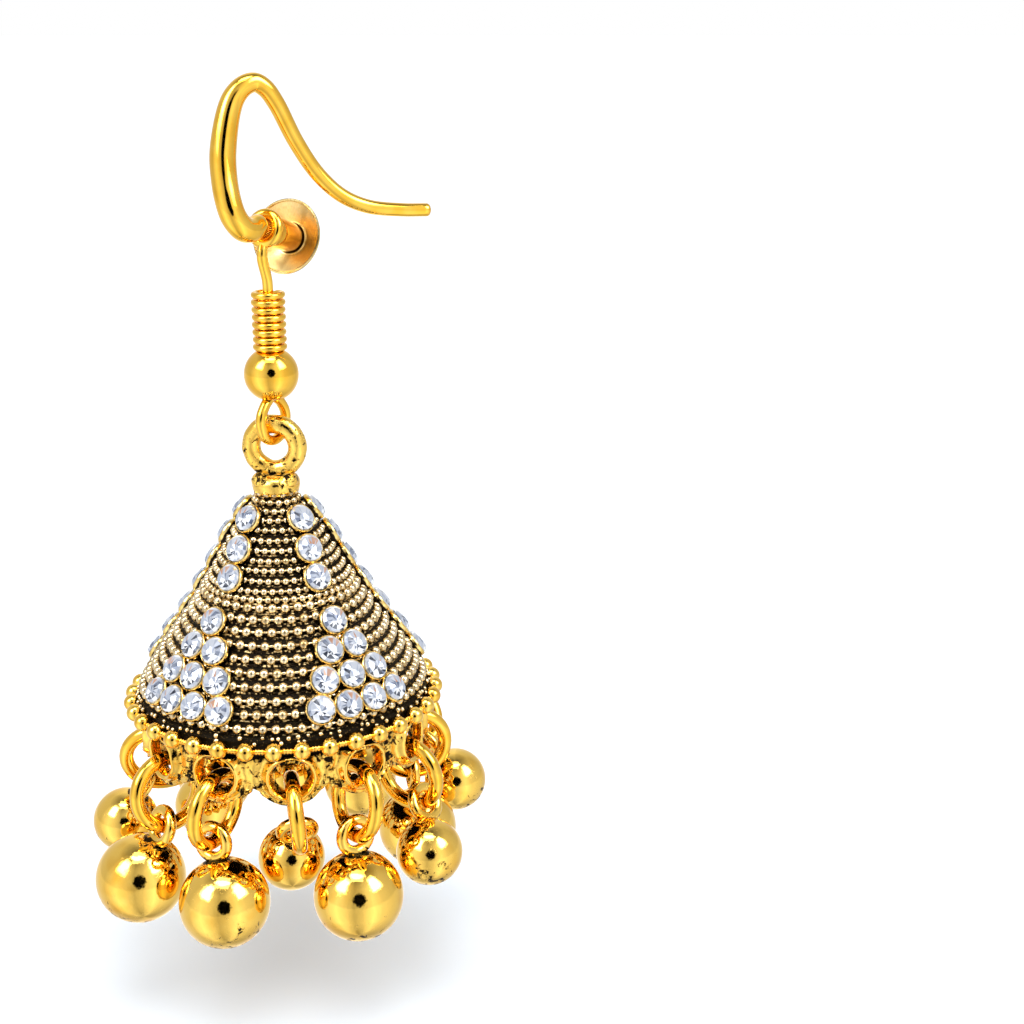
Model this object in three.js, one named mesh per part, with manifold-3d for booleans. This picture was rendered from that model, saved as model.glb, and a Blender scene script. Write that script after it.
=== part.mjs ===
// Jhumka earring: an ear hook with a disc stop, a wire drop with a coil and a ball bead,
// and a hollow bell-shaped dome of beaded rows set with stones, hung with twelve ball bells.
// Millimetres, +Z up, +X across the photographed front, -Y towards the viewer.
// The origin is the inner crown of the ear hook, where the ear carries the earring.

import * as THREE from 'three'
import { mergeVertices } from 'three/addons/utils/BufferGeometryUtils.js'
import Module from 'manifold-3d'

const wasm = await Module()
wasm.setup()

// Ear hook
const hookReach = 11.3          // from the crown across to the tail's tip
const hookDrop = 9.35           // from the crown down to the axis of the peg
const hookWire = 1.86           // diameter of the wire in the front limb
const pegDiameter = 1.1         // the thin pin that carries the eye and the stop
const pegAcross = 0.367         // direction of the peg, away from the front limb
const pegBack = 0.885
const pegDown = 0.286
const nosePlay = 0.09           // between the hook's shoulder and the eye on the peg

// Stop on the peg
const barrelDiameter = 2.2
const barrelLength = 3.1
const discDiameter = 5.5
const discDepth = 0.75          // how far the disc's rim comes forward of its middle
const discWall = 0.35
const stopClearance = 0.11      // round the peg, and between eye, barrel and disc
const pegTail = 0.25            // how far the peg's end stands out behind the disc

// Wire drop
const dropWire = 0.78
const upperEyeDiameter = 2.1    // centre line of the eye round the peg
const shankLength = 4.7         // from the peg's axis to the top turn of the coil
const coilTurns = 7
const coilWire = 0.5
const coilPitch = 0.54
const coilDiameter = 2.0        // centre line of the coil
const beadDiameter = 4.0
const beadBore = 1.9
const beadSeat = 0.06           // between the coil and the bead
const lowerEyeWidth = 2.9       // centre line of the eye under the bead
const lowerEyeDrop = 4.95       // from the bead's centre to the bottom of the eye
const lowerEyeTurn = 30         // degrees of the eye's plane from +Y towards +X
const strandGap = 0.84          // between the two strands where they leave the bead

// Cast top of the dome
const castRingDiameter = 3.46   // centre line
const castRingWire = 1.4
const castRingTurn = 6          // degrees of the ring's axis from +Y towards +X
const linkPlay = 0.15           // between wires that hang on each other
const knobDiameter = 3.6
const knobHeight = 1.67
const knobDrop = 2.75           // from the ring's centre to the knob's centre

// Dome
const domeHeight = 16.15        // from the top of the cone to the plane of the rim beads
const coneTopDiameter = 3.2
const rimDiameter = 22.3
const domeWall = 0.95
const fineRows = 12
const fineRowPitch = 0.625      // down the dome's axis
const fineRowHeight = 0.24
const coarseRows = 10
const coarseRowPitch = 0.81
const coarseRowHeight = 0.32
const rimBeads = 36
const rimBeadDiameter = 1.25
const rimBeadOut = 0.35         // from the rim's outside to the circle of the beads' middles
const rimBeadTurn = 3.6         // degrees of the first bead from the front
const domeSides = 24
const roundSides = 10           // round the meshed beads, balls and rings
const wireSides = 6             // round the section of a link's wire

// Skirt of round-holed lobes under the rim
const lugs = 12
const lugTurn = 9.5             // degrees of the first lobe from the front
const skirtInset = 0.6          // from the rim's outside in to the skirt's
const skirtWall = 0.9
const skirtEdge = 3.4           // below the rim plane, between the lobes
const lobeDiameter = 5.5
const lobeDrop = 2              // centre of the lobe below the rim plane
const lugHole = 2.8
const lugHoleDrop = 2.45

// Jump rings and bells
const jumpRing = 5.1            // centre line
const jumpWire = 1.1
const hangPlay = 0.17           // between a jump ring and the lip that it hangs on
const largeBell = 6.65
const mediumBell = 6.1
const smallBell = 5
const bellLoop = 2.36           // centre line of the loop on a bell
const loopWire = 0.85
const loopSink = 0.35           // how far the loop is cast into its bell
const loopPlay = 0.03

// Stones
const stonePitch = 2.1          // between neighbours' middles in a row
const cupOverlap = 0.46         // between the feet of neighbouring cups
const stoneTable = 1.2
const stoneHeight = 0.85
const stoneSeat = 0.12          // between the row tops and the cups
const lowerRowPitch = 1.99      // up the wall, between the rows of a lower field
const upperRowPitch = 2.24
const sideRowPitch = 2.31
const lowerRowHeight = 2.33     // lowest stones above the rim plane
const sideRowHeight = 2.39
const sideRowMargin = 1.6       // left free at the top of a side line
const panelTurn = 2             // degrees of the front panel's middle from the front
const backTurn = 180

const radians = THREE.MathUtils.degToRad
const down = new THREE.Vector3(0, 0, -1)

// Heights that follow from the sizes above
const pegHeight = -hookDrop
const coilTopHeight = pegHeight - shankLength
const coilBottomHeight = coilTopHeight - coilTurns * coilPitch
const beadShoulder = Math.sqrt(beadDiameter ** 2 - (beadBore + 0.1) ** 2) / 2
const beadHeight = coilBottomHeight - coilWire / 2 - beadSeat - beadShoulder
const lowerEyeHeight = beadHeight - lowerEyeDrop
const pivotHeight = lowerEyeHeight + dropWire / 2 + linkPlay + castRingWire / 2
const castRingHeight = pivotHeight - castRingDiameter / 2
const knobCentre = castRingHeight - knobDrop
const coneTopHeight = knobCentre - knobHeight * 0.25
const rimHeight = coneTopHeight - domeHeight
const rimBeadCircle = rimDiameter + 2 * rimBeadOut
const skirtDiameter = rimDiameter - 2 * skirtInset
const stoneCup = stonePitch + cupOverlap
const wallRise = domeHeight / Math.hypot(domeHeight, (rimDiameter - coneTopDiameter) / 2)

// The hook's centre line from the tail's tip to the shoulder at the peg.
// across and back are shares of hookReach, drop of hookDrop, wire of hookWire.
const hookLine = [
  { across: 1.003, back: 0.315, drop: 0.9, wire: 0.52 },
  { across: 0.84, back: 0.267, drop: 0.893, wire: 0.53 },
  { across: 0.63, back: 0.204, drop: 0.859, wire: 0.55 },
  { across: 0.473, back: 0.156, drop: 0.77, wire: 0.57 },
  { across: 0.33, back: 0.113, drop: 0.603, wire: 0.6 },
  { across: 0.206, back: 0.076, drop: 0.364, wire: 0.63 },
  { across: 0.096, back: 0.04, drop: 0.076, wire: 0.67 },
  { across: 0.035, back: 0.019, drop: -0.032, wire: 0.7 },
  { across: -0.022, back: 0, drop: -0.073, wire: 0.73 },
  { across: -0.087, back: -0.035, drop: -0.048, wire: 0.78 },
  { across: -0.156, back: -0.071, drop: 0.057, wire: 0.87 },
  { across: -0.213, back: -0.142, drop: 0.403, wire: 1 },
  { across: -0.208, back: -0.186, drop: 0.602, wire: 1 },
  { across: -0.184, back: -0.221, drop: 0.766, wire: 1 },
  { across: -0.151, back: -0.23, drop: 0.888, wire: 1 },
  { across: -0.104, back: -0.199, drop: 0.973, wire: 0.98 },
  { across: -0.066, back: -0.15, drop: 0.991, wire: 0.94 }
]

// The dome's wall below the row tops, from the knob to the rim.
// drop is a share of domeHeight, flare is 0 at the cone's top and 1 at the rim.
const domeLine = [
  { drop: 0, flare: 0 },
  { drop: 0.05, flare: 0.02 },
  { drop: 0.2, flare: 0.2 },
  { drop: 0.385, flare: 0.376 },
  { drop: 0.57, flare: 0.568 },
  { drop: 0.755, flare: 0.795 },
  { drop: 0.907, flare: 0.962 },
  { drop: 0.965, flare: 1 }
]

// Stones beside a panel: rows up the wall from a field's lowest, then how far
// the nearest stone stands from the panel's middle, as a share of stonePitch.
const upperStones = [
  { row: 0, across: 1.553, count: 1 },
  { row: 1, across: 1.244, count: 1 },
  { row: 2, across: 0.944, count: 1 }
]
const lowerStones = [
  { row: 0, across: 1.72, count: 4 },
  { row: 1, across: 1.848, count: 3 },
  { row: 2, across: 2.005, count: 2 },
  { row: 3, across: 2.168, count: 1 }
]
const backUpperStones = [
  { row: 0, across: 1.035, count: 1 },
  { row: 1, across: 0.797, count: 1 }
]
const upperRowShare = 0.641     // of domeHeight, the lowest stone of an upper line
const sideTurn = 106            // degrees of the single lines at the sides

// How each jump ring and bell hangs, in degrees: out from the dome and round it,
// with the ring's turn about its own hanging line.
const hanging = [
  { bell: smallBell, ringOut: 1, ringRound: 4, ringTurn: -2, bellOut: -32, bellRound: -7 },
  { bell: largeBell, ringOut: 13, ringRound: -10, ringTurn: 0, bellOut: 8, bellRound: -4 },
  { bell: smallBell, ringOut: 10, ringRound: 2, ringTurn: 13, bellOut: 24, bellRound: -35 },
  { bell: mediumBell, ringOut: -12, ringRound: 3, ringTurn: -4, bellOut: 1, bellRound: -34 },
  { bell: smallBell, ringOut: 17, ringRound: -32, ringTurn: 0, bellOut: 26, bellRound: -29 },
  { bell: mediumBell, ringOut: 0, ringRound: -7, ringTurn: 0, bellOut: 1, bellRound: -6 },
  { bell: mediumBell, ringOut: 2, ringRound: -1, ringTurn: 0, bellOut: 13, bellRound: -1 },
  { bell: mediumBell, ringOut: 5, ringRound: 1, ringTurn: 0, bellOut: 13, bellRound: 1 },
  { bell: smallBell, ringOut: -5, ringRound: -3, ringTurn: 0, bellOut: -19, bellRound: -2 },
  { bell: smallBell, ringOut: -14, ringRound: -14, ringTurn: 5, bellOut: 28, bellRound: -2 },
  { bell: largeBell, ringOut: 28, ringRound: 8, ringTurn: 1, bellOut: 19, bellRound: -14 },
  { bell: largeBell, ringOut: 19, ringRound: -6, ringTurn: 4, bellOut: 7, bellRound: 13 }
]

const finishes = {
  polishedGold: { color: 0xe8b53c, roughness: 0.12, metalness: 1 },
  antiqueGold: { color: 0xc99a35, roughness: 0.3, metalness: 1 },
  stoneGlass: { color: 0xe4eaf4, roughness: 0.05, metalness: 0.1 }
}

const earring = new THREE.Group()

// A named mesh with its own material, added to the earring
function addPiece(name, geometry, finish) {
  const piece = new THREE.Mesh(geometry, new THREE.MeshStandardMaterial(finishes[finish]))
  piece.name = name
  earring.add(piece)
  return piece
}

// A closed geometry as a solid that can be joined and cut
function solidOf(geometry) {
  const bare = geometry.clone()
  bare.deleteAttribute('normal')
  bare.deleteAttribute('uv')
  const merged = mergeVertices(bare, 1e-4)
  return new wasm.Manifold(new wasm.Mesh({
    numProp: 3,
    vertProperties: new Float32Array(merged.attributes.position.array),
    triVerts: new Uint32Array(merged.index.array)
  }))
}

function geometryOf(solid) {
  const mesh = solid.getMesh()
  const geometry = new THREE.BufferGeometry()
  geometry.setAttribute('position', new THREE.BufferAttribute(mesh.vertProperties, 3))
  geometry.setIndex(new THREE.BufferAttribute(mesh.triVerts, 1))
  geometry.computeVertexNormals()
  return geometry
}

function joined(solids) {
  return solids.reduce((whole, next) => whole.add(next))
}

// A shape of revolution about +Z from [radius, height] pairs that run upwards outside
function turned(profile, sides) {
  const points = profile.map(([radius, height]) => new THREE.Vector2(radius, height))
  return new THREE.LatheGeometry(points, sides).rotateX(Math.PI / 2)
}

// A tube along a curve, with its diameter given at each share of the curve's length
function taperedTube(curve, steps, sides, diameterAt) {
  const core = 0.02
  const section = new THREE.Shape()
  for (let side = 0; side < sides; side += 1) {
    const angle = 2 * Math.PI * side / sides
    const corner = [core * Math.cos(angle), core * Math.sin(angle)]
    if (side === 0) section.moveTo(...corner)
    else section.lineTo(...corner)
  }
  section.closePath()
  const geometry = new THREE.ExtrudeGeometry(section, { steps, extrudePath: curve })
  const centres = curve.getSpacedPoints(steps)
  const position = geometry.attributes.position
  const point = new THREE.Vector3()
  for (let index = 0; index < position.count; index += 1) {
    point.fromBufferAttribute(position, index)
    let nearest = 0
    for (let step = 1; step <= steps; step += 1) {
      if (centres[step].distanceTo(point) < centres[nearest].distanceTo(point)) nearest = step
    }
    const grow = diameterAt(nearest / steps) / (2 * core)
    point.sub(centres[nearest]).multiplyScalar(grow).add(centres[nearest])
    position.setXYZ(index, point.x, point.y, point.z)
  }
  return geometry
}

function tube(curve, steps, sides, diameter) {
  return taperedTube(curve, steps, sides, () => diameter)
}

// A ring of round wire about its own middle, with its axis along a direction
function wireRing(diameter, wire, axis, middle, sides, ringSides) {
  const ring = new THREE.TorusGeometry(diameter / 2, wire / 2, sides, ringSides)
  ring.applyQuaternion(new THREE.Quaternion().setFromUnitVectors(new THREE.Vector3(0, 0, 1), axis))
  return ring.translate(middle.x, middle.y, middle.z)
}

// Moves a shape made about +Z so that +Z follows a direction from a point
function aimed(geometry, axis, from) {
  const turn = new THREE.Quaternion().setFromUnitVectors(new THREE.Vector3(0, 0, 1), axis)
  return geometry.applyQuaternion(turn).translate(from.x, from.y, from.z)
}

// Directions out from the dome's axis and round it at an angle from the front
function outward(degrees) {
  return new THREE.Vector3(Math.sin(radians(degrees)), -Math.cos(radians(degrees)), 0)
}

function around(degrees) {
  return new THREE.Vector3(Math.cos(radians(degrees)), Math.sin(radians(degrees)), 0)
}

const pegAxis = new THREE.Vector3(pegAcross, pegBack, -pegDown).normalize()
const pegCentre = new THREE.Vector3(0, 0, pegHeight)
const eyeHalf = dropWire / 2

function alongPeg(distance) {
  return pegCentre.clone().addScaledVector(pegAxis, distance)
}

const barrelStart = eyeHalf + stopClearance
const discStart = barrelStart + barrelLength + stopClearance

function earHook() {
  const shoulder = -(eyeHalf + nosePlay)
  const points = hookLine.map(({ across, back, drop }) => (
    new THREE.Vector3(hookReach * across, hookReach * back, -hookDrop * drop)
  ))
  points.push(alongPeg(shoulder - hookWire * 0.3), alongPeg(shoulder))
  const wires = hookLine.map(({ wire }) => hookWire * wire)
  wires.push(hookWire * 0.86, hookWire * 0.8)
  const curve = new THREE.CatmullRomCurve3(points, false, 'centripetal')
  const lengths = points.map((point, index) => index / (points.length - 1))
  const steps = 30
  const shares = lengths.map((share) => arcShare(curve, share))
  const limb = taperedTube(curve, steps, 8, (share) => {
    const next = Math.max(1, shares.findIndex((end) => end >= share - 1e-6))
    const part = (share - shares[next - 1]) / (shares[next] - shares[next - 1])
    const wire = THREE.MathUtils.lerp(wires[next - 1], wires[next], part)
    return share === 0 ? wire * 0.8 : wire
  })
  const pegLength = discStart + discWall + stopClearance + pegTail + hookWire * 0.3 - shoulder
  const peg = new THREE.CylinderGeometry(pegDiameter / 2, pegDiameter / 2, pegLength, roundSides)
  peg.translate(0, pegLength / 2, 0).rotateX(Math.PI / 2)
  aimed(peg, pegAxis, alongPeg(shoulder - hookWire * 0.3))
  return geometryOf(solidOf(limb).add(solidOf(peg)))
}

// The share of a curve's length that lies before a value of its own parameter
function arcShare(curve, value) {
  const lengths = curve.getLengths(400)
  return lengths[Math.round(400 * value)] / lengths[400]
}

function stopBarrel() {
  const bore = pegDiameter / 2 + stopClearance
  const outer = barrelDiameter / 2
  const edge = 0.12
  const profile = [
    [bore, 0], [outer - edge, 0], [outer, edge],
    [outer, barrelLength], [bore, barrelLength], [bore, 0]
  ]
  return aimed(turned(profile, 12), pegAxis, alongPeg(barrelStart))
}

// A shallow flared dish whose hollow side faces the barrel
function stopDisc() {
  const bore = pegDiameter / 2 + stopClearance
  const boss = barrelDiameter / 2
  const outer = discDiameter / 2
  const profile = [
    [bore, 0], [boss, 0], [outer - 0.1, -discDepth],
    [outer, discWall * 0.4 - discDepth], [boss, discWall], [bore, discWall], [bore, 0]
  ]
  return aimed(turned(profile, 18), pegAxis, alongPeg(discStart))
}

function dropWirePiece() {
  const hang = down.clone().addScaledVector(pegAxis, -down.dot(pegAxis)).normalize()
  const eyeBottom = pegCentre.clone().addScaledVector(hang, upperEyeDiameter / 2)
  const eye = wireRing(upperEyeDiameter, dropWire, pegAxis, pegCentre, wireSides, 12)
  const shankLine = new THREE.CatmullRomCurve3([
    eyeBottom,
    eyeBottom.clone().addScaledVector(hang, shankLength * 0.2),
    new THREE.Vector3(0, 0, coilTopHeight + shankLength * 0.2),
    new THREE.Vector3(0, 0, coilTopHeight - coilWire),
    new THREE.Vector3(0, 0, beadHeight - beadDiameter * 0.3)
  ], false, 'centripetal')
  const shank = tube(shankLine, 10, wireSides, dropWire)
  const side = new THREE.Vector3(Math.sin(radians(lowerEyeTurn)), Math.cos(radians(lowerEyeTurn)), 0)
  const half = lowerEyeWidth / 2
  const loopAt = (across, height) => side.clone().multiplyScalar(across).setZ(height)
  const middle = lowerEyeHeight + half
  const loopLine = new THREE.CatmullRomCurve3([
    loopAt(-strandGap / 4, beadHeight),
    loopAt(-strandGap / 2, beadHeight - beadDiameter / 2),
    loopAt(-half, middle),
    loopAt(-half * 0.7, middle - half * 0.72),
    loopAt(0, lowerEyeHeight),
    loopAt(half * 0.7, middle - half * 0.72),
    loopAt(half, middle),
    loopAt(strandGap / 2, beadHeight - beadDiameter / 2),
    loopAt(strandGap / 4, beadHeight)
  ], false, 'centripetal')
  const loop = tube(loopLine, 20, wireSides, dropWire)
  return geometryOf(joined([solidOf(eye), solidOf(shank), solidOf(loop)]))
}

class CoilLine extends THREE.Curve {
  getPoint(share, target = new THREE.Vector3()) {
    const angle = 2 * Math.PI * coilTurns * share
    return target.set(
      Math.sin(angle) * coilDiameter / 2,
      -Math.cos(angle) * coilDiameter / 2,
      coilTopHeight - coilTurns * coilPitch * share
    )
  }
}

function coilWrap() {
  return tube(new CoilLine(), coilTurns * roundSides, 5, coilWire)
}

function ballBead() {
  const rings = 7
  const bore = beadBore / 2
  const limit = Math.acos(bore / (beadDiameter / 2))
  const profile = []
  for (let ring = 0; ring <= rings; ring += 1) {
    const angle = -limit + 2 * limit * ring / rings
    profile.push([Math.cos(angle) * beadDiameter / 2, Math.sin(angle) * beadDiameter / 2])
  }
  profile.push(profile[0])
  return turned(profile, 14).translate(0, 0, beadHeight)
}

// The dome's radius, without its rows, at a height above the rim plane
function wallRadius(height) {
  const drop = THREE.MathUtils.clamp(1 - height / domeHeight, 0, domeLine.at(-1).drop)
  const next = Math.max(1, domeLine.findIndex((row) => row.drop >= drop - 1e-9))
  const above = domeLine[next - 1]
  const below = domeLine[next]
  const part = (drop - above.drop) / (below.drop - above.drop)
  const flare = THREE.MathUtils.lerp(above.flare, below.flare, part)
  return THREE.MathUtils.lerp(coneTopDiameter, rimDiameter, flare) / 2
}

// Heights of the row crests above the rim plane, with each row's height and pitch
function beadRows() {
  const rows = []
  for (let row = 0; row < fineRows; row += 1) {
    const height = domeHeight - fineRowPitch * (row + 0.3)
    rows.push({ height, pitch: fineRowPitch, relief: fineRowHeight })
  }
  const start = rows.at(-1).height - (fineRowPitch + coarseRowPitch) * 0.28
  for (let row = 0; row < coarseRows; row += 1) {
    const height = start - coarseRowPitch * row
    rows.push({ height, pitch: coarseRowPitch, relief: coarseRowHeight })
  }
  return rows
}

function domeShell() {
  const outside = [[wallRadius(domeHeight) - fineRowHeight, domeHeight]]
  for (const { height, pitch, relief } of beadRows()) {
    outside.push([wallRadius(height), height])
    outside.push([wallRadius(height - pitch / 2) - relief, height - pitch / 2])
  }
  const rim = rimDiameter / 2
  const skirt = skirtDiameter / 2
  outside.push([rim, 0.55], [rim, -0.5], [skirt, -0.9], [skirt, -skirtEdge])
  const inside = [[skirt - skirtWall, -skirtEdge], [skirt - skirtWall, -0.4]]
  const crown = domeHeight - domeWall * 2.4
  const levels = 4
  for (let level = 0; level <= levels; level += 1) {
    const height = 0.9 + (crown - 0.9) * level / levels
    inside.push([Math.min(wallRadius(height) - domeWall, skirt - skirtWall), height])
  }
  const profile = [[0, domeHeight], ...outside, ...inside, [0, crown]]
  return solidOf(turned(profile.reverse(), domeSides))
}

// A short round bar through the skirt wall at a lug
function lugBar(index, diameter, drop, start, end, sides) {
  const bar = new THREE.CylinderGeometry(diameter / 2, diameter / 2, end - start, sides)
  bar.translate(0, (start + end) / 2, 0).rotateZ(Math.PI)
  bar.rotateZ(radians(lugTurn + 360 * index / lugs))
  return solidOf(bar.translate(0, 0, -drop))
}

function lobeBand() {
  const outer = skirtDiameter / 2
  const inner = outer - skirtWall
  const deep = lobeDrop + lobeDiameter
  const wall = turned([[inner, -deep], [outer, -deep], [outer, -0.8], [inner, -0.8], [inner, -deep]], domeSides)
  const lobes = []
  for (let index = 0; index < lugs; index += 1) {
    lobes.push(lugBar(index, lobeDiameter, lobeDrop, inner - 1, outer + 1, 12))
  }
  return solidOf(wall).intersect(joined(lobes))
}

function dome() {
  const outer = skirtDiameter / 2
  const inner = outer - skirtWall
  let body = domeShell().add(lobeBand())
  for (let index = 0; index < lugs; index += 1) {
    body = body.subtract(lugBar(index, lugHole, lugHoleDrop, inner - 1, outer + 2, roundSides))
  }
  const beads = []
  for (let index = 0; index < rimBeads; index += 1) {
    const away = outward(rimBeadTurn + 360 * index / rimBeads)
    const bead = new THREE.SphereGeometry(rimBeadDiameter / 2, roundSides, 4).rotateX(Math.PI / 2)
    beads.push(solidOf(aimed(bead, away, away.clone().multiplyScalar(rimBeadCircle / 2))))
  }
  body = joined([body, ...beads])
  const ringAxis = new THREE.Vector3(Math.sin(radians(castRingTurn)), Math.cos(radians(castRingTurn)), 0)
  const ringMiddle = new THREE.Vector3(0, 0, castRingHeight - rimHeight)
  const ring = wireRing(castRingDiameter, castRingWire, ringAxis, ringMiddle, 8, 14)
  const knobZ = knobCentre - rimHeight
  const knobRadius = knobDiameter / 2
  const half = knobHeight / 2
  const knob = turned([
    [0, knobZ - half], [knobRadius * 0.82, knobZ - half], [knobRadius, knobZ - half * 0.35],
    [knobRadius, knobZ + half * 0.3], [knobRadius * 0.75, knobZ + half * 0.85], [0, knobZ + half]
  ], 14)
  body = joined([body, solidOf(ring), solidOf(knob)])
  return geometryOf(body).translate(0, 0, rimHeight)
}

// A direction that hangs down, swung out from the dome and round it
function hangDirection(degrees, out, round) {
  return down.clone().multiplyScalar(Math.cos(radians(out)) * Math.cos(radians(round)))
    .addScaledVector(outward(degrees), Math.sin(radians(out)) * Math.cos(radians(round)))
    .addScaledVector(around(degrees), Math.sin(radians(round)))
}

// From the middle of the lip under a hole to the middle of a jump ring that leans on its corner
function hangReach(out, lip) {
  const inner = (jumpRing * Math.cos(Math.PI / roundSides) - jumpWire) / 2 - hangPlay
  const corner = Math.max(lip, skirtWall) / 2
  const lean = corner * (Math.abs(Math.sin(radians(out))) + Math.cos(radians(out)))
  return Math.sqrt(lean ** 2 - 2 * corner ** 2 + inner ** 2) - lean
}

// A jump ring through a lobe's hole, and the bell that hangs on it
function hangBell(index) {
  const row = hanging[index]
  const turn = lugTurn + 360 * index / lugs
  const lip = lobeDrop + lobeDiameter / 2 - lugHoleDrop - lugHole / 2
  const lipMiddle = outward(turn).multiplyScalar((skirtDiameter - skirtWall) / 2)
  lipMiddle.setZ(rimHeight - lugHoleDrop)
  lipMiddle.addScaledVector(hangDirection(turn, 0, row.ringRound), (lugHole + lip) / 2)
  const ringDown = hangDirection(turn, row.ringOut, row.ringRound)
  const ringMiddle = lipMiddle.clone().addScaledVector(ringDown, hangReach(row.ringOut, lip))
  const ringAxis = around(turn).addScaledVector(ringDown, -around(turn).dot(ringDown)).normalize()
  ringAxis.applyAxisAngle(ringDown, radians(row.ringTurn))
  const name = `jump_ring_${index + 1}`
  addPiece(name, wireRing(jumpRing, jumpWire, ringAxis, ringMiddle, 5, roundSides), 'polishedGold')

  const bellDown = hangDirection(turn, row.bellOut, row.bellRound)
  const across = bellDown.clone().addScaledVector(ringAxis, -bellDown.dot(ringAxis)).normalize()
  const link = ringMiddle.clone().addScaledVector(across, jumpRing / 2)
  const loopMiddle = link.clone().addScaledVector(bellDown, loopPlay)
  const ringAlong = new THREE.Vector3().crossVectors(ringAxis, across)
  ringAlong.addScaledVector(bellDown, -ringAlong.dot(bellDown)).normalize()
  const loop = wireRing(bellLoop, loopWire, ringAlong, loopMiddle, 5, roundSides)
  const reach = (bellLoop + loopWire + row.bell) / 2 - loopSink
  const ball = new THREE.SphereGeometry(row.bell / 2, roundSides, 6).rotateX(Math.PI / 2)
  aimed(ball, bellDown, loopMiddle.clone().addScaledVector(bellDown, reach))
  addPiece(`bell_${index + 1}`, geometryOf(solidOf(ball).add(solidOf(loop))), 'antiqueGold')
}

// Where a stone stands on the row tops, and the way that it faces
function stonePlace(height, degrees) {
  const sample = 0.6
  const rise = wallRadius(height - sample) - wallRadius(height + sample)
  const normal = outward(degrees).multiplyScalar(2 * sample).setZ(rise).normalize()
  const foot = outward(degrees).multiplyScalar(wallRadius(height)).setZ(rimHeight + height)
  foot.addScaledVector(normal, stoneSeat)
  return { normal, foot, level: around(degrees) }
}

// A stone in its cup, with corners towards its neighbours
function stone({ normal, foot, level }) {
  const profile = [
    [0, 0], [stoneCup / 2, 0], [stoneTable / 2, stoneHeight], [0, stoneHeight]
  ]
  const frame = new THREE.Matrix4().makeBasis(level, normal.clone().cross(level), normal)
  return solidOf(turned(profile, 8).applyMatrix4(frame.setPosition(foot)))
}

// A field of stones whose cups are soldered to each other
function addStones(name, rows) {
  const stones = rows.map(({ height, degrees }) => stone(stonePlace(height, degrees)))
  addPiece(name, geometryOf(joined(stones)), 'stoneGlass')
}

// The places of a table's stones on one side of a panel
function beside(panel, hand, lowest, rowPitch, rows) {
  return rows.flatMap(({ row, across, count }) => {
    const height = lowest + row * rowPitch * wallRise
    return Array.from({ length: count }, (none, index) => {
      const away = (across + index) * stonePitch / wallRadius(height)
      return { height, degrees: panel + hand * THREE.MathUtils.radToDeg(away) }
    })
  })
}

// One stone above another from the rim to the knob
function sideLine(degrees) {
  const rise = sideRowPitch * wallRise
  const count = Math.floor((domeHeight - sideRowMargin - sideRowHeight) / rise) + 1
  return Array.from({ length: count }, (none, row) => ({ height: sideRowHeight + row * rise, degrees }))
}

addPiece('ear_hook', earHook(), 'polishedGold')
addPiece('stop_barrel', stopBarrel(), 'polishedGold')
addPiece('stop_disc', stopDisc(), 'polishedGold')
addPiece('drop_wire', dropWirePiece(), 'polishedGold')
addPiece('coil_wrap', coilWrap(), 'polishedGold')
addPiece('ball_bead', ballBead(), 'polishedGold')
addPiece('dome', dome(), 'antiqueGold')

for (let index = 0; index < lugs; index += 1) hangBell(index)

const upperStart = upperRowShare * domeHeight

for (const [side, hand] of [['left', -1], ['right', 1]]) {
  const back = panelTurn + backTurn
  addStones(`stones_front_upper_${side}`, beside(panelTurn, hand, upperStart, upperRowPitch, upperStones))
  addStones(`stones_front_lower_${side}`, beside(panelTurn, hand, lowerRowHeight, lowerRowPitch, lowerStones))
  addStones(`stones_side_${side}`, sideLine(panelTurn + hand * sideTurn))
  addStones(`stones_back_upper_${side}`, beside(back, -hand, upperStart, upperRowPitch, backUpperStones))
  addStones(`stones_back_lower_${side}`, beside(back, -hand, lowerRowHeight, lowerRowPitch, lowerStones))
}

export default earring
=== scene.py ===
import math
import random

import bpy
from mathutils import Matrix, Vector, noise


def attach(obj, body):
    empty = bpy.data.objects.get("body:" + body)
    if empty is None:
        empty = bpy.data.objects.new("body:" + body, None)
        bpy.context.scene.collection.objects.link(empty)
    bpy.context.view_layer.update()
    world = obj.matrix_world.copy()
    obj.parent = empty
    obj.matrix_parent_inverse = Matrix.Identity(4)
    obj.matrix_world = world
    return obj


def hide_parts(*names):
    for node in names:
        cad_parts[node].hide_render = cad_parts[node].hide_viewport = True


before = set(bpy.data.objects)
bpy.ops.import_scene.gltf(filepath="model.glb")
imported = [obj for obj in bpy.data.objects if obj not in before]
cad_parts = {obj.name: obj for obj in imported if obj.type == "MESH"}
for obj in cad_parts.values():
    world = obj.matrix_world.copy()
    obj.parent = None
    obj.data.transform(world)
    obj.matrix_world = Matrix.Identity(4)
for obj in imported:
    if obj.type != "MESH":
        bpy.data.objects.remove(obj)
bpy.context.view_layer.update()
mm = 0.001


# small helpers
def clearAll():
    bpy.ops.object.select_all(action="DESELECT")
    bpy.context.view_layer.objects.active = None


def pick(piece):
    clearAll()
    piece.select_set(True)
    bpy.context.view_layer.objects.active = piece


def editAll(*steps):  # run edit-mode steps on everything in the active piece
    bpy.ops.object.mode_set(mode="EDIT")
    bpy.ops.mesh.select_all(action="SELECT")
    for step in steps:
        step()
    bpy.ops.object.mode_set(mode="OBJECT")


def mergeClose():
    bpy.ops.mesh.remove_doubles(threshold=2e-6)


def faceOut():
    bpy.ops.mesh.normals_make_consistent(inside=False)


def place(piece, matrix):  # the place goes into the mesh, the object stays at the origin
    piece.data.transform(matrix @ piece.matrix_basis)
    piece.matrix_basis = Matrix.Identity(4)
    if matrix.to_3x3().determinant() < 0:
        piece.data.flip_normals()
    return piece


def lift(piece, height):
    return place(piece, Matrix.Translation((0, 0, height * mm)))


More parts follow.
